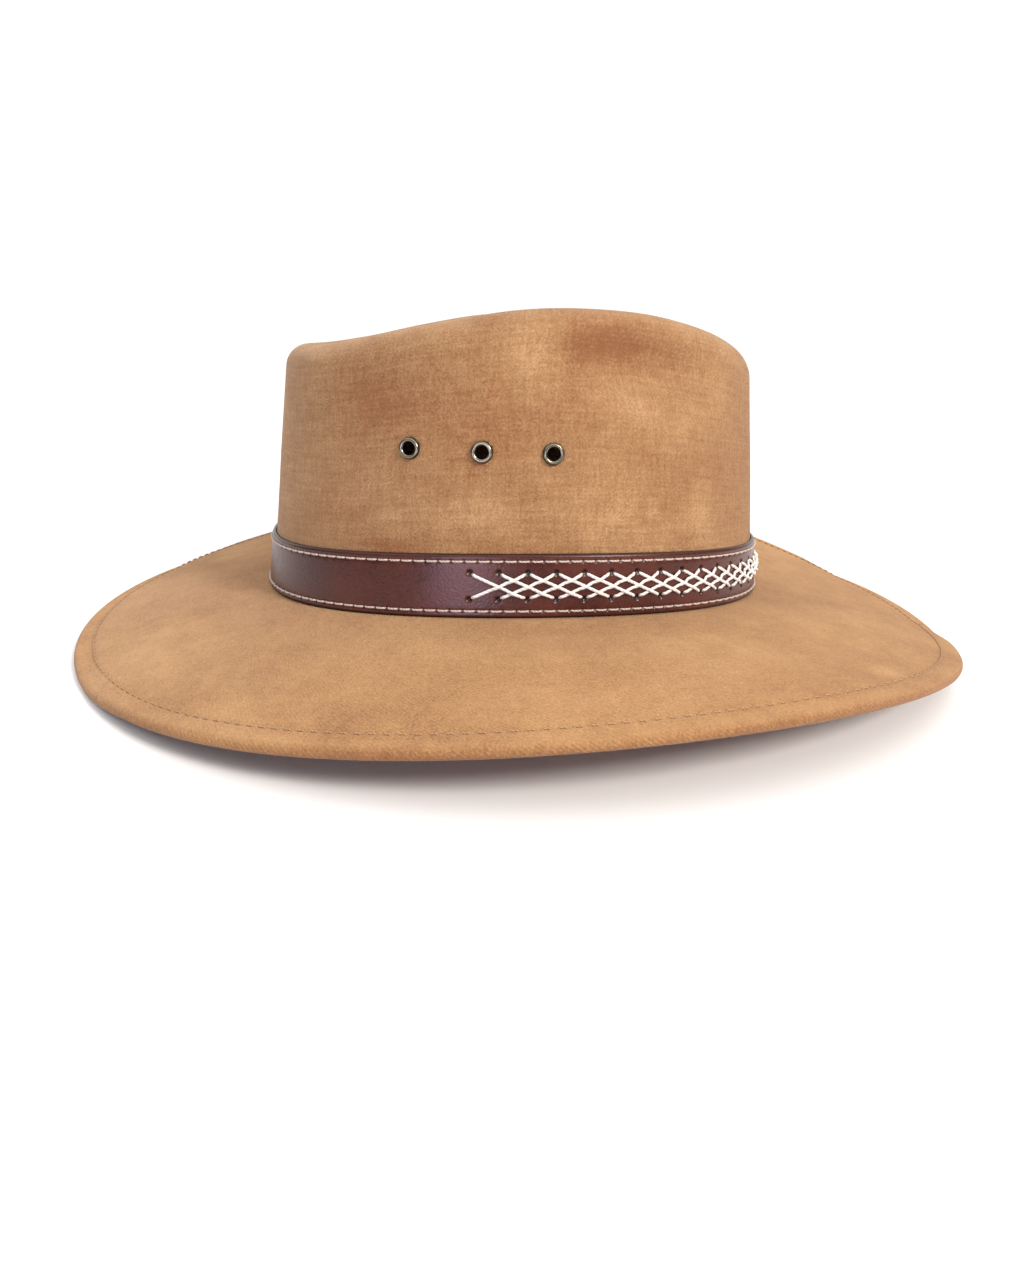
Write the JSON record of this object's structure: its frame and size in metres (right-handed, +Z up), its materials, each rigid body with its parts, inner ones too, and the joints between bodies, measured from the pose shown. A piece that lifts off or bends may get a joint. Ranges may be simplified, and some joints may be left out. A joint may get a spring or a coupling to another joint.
{
  "type": "outback hat",
  "caption": "Wide-brimmed outback hat in tan suede cloth, with a dented teardrop crown, brass vent eyelets and a cross-laced leather band.",
  "frame": {"origin": "on the resting surface, under the middle of the brim's outline seen from above", "axes": "+Z up, the hat's front faces -Y, the wearer's right side (the side in the picture) is -X"},
  "size_m": [0.3336, 0.3572, 0.1257],
  "materials": {
    "suede_cloth": "brushed suede cloth, tan, mottled nap",
    "band_leather": "smooth semi-gloss chocolate leather",
    "aged_brass": "aged brass with a worn bright rim",
    "lacing_cord": "off-white waxed round lacing cord",
    "stitching_thread": "beige sewing thread"
  },
  "bodies": {
    "root": {"crown": "suede_cloth", "brim": "suede_cloth", "hat_band": "band_leather", "eyelet_right_1": "aged_brass", "eyelet_right_2": "aged_brass", "eyelet_right_3": "aged_brass", "eyelet_left_1": "aged_brass", "eyelet_left_2": "aged_brass", "eyelet_left_3": "aged_brass"}
  },
  "joints": []
}
